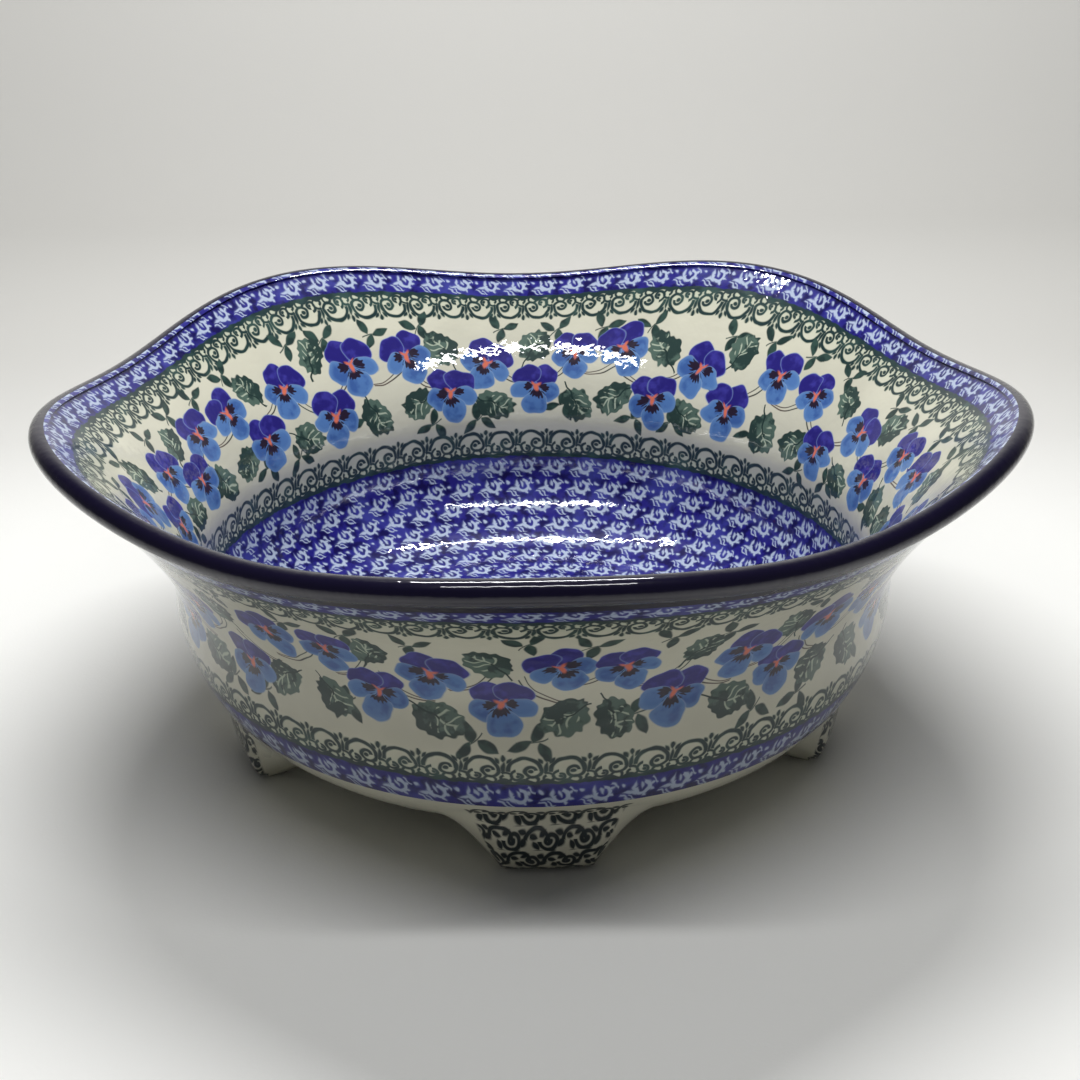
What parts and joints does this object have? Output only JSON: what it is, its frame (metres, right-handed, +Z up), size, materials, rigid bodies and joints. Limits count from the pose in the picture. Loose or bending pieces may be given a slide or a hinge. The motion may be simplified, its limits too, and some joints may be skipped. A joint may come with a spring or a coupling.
{
  "type": "footed bowl",
  "caption": "Round glazed stoneware serving bowl with a wavy flared rim, a rolled lip, a bulging body and short feet, painted inside and out with violas, leaves and scrolls.",
  "frame": {"origin": "centre of the bowl's bounding box, on the surface that its feet stand on", "axes": "+Z up, -Y towards the front lobe and the foot under it, +X to the right seen from the front"},
  "size_m": [0.2926, 0.2902, 0.1155],
  "materials": {
    "glazed_stoneware": "clear gloss glaze over hand-painted cobalt, green and cream decoration"
  },
  "bodies": {
    "root": {"footed_bowl": "glazed_stoneware"}
  },
  "joints": []
}
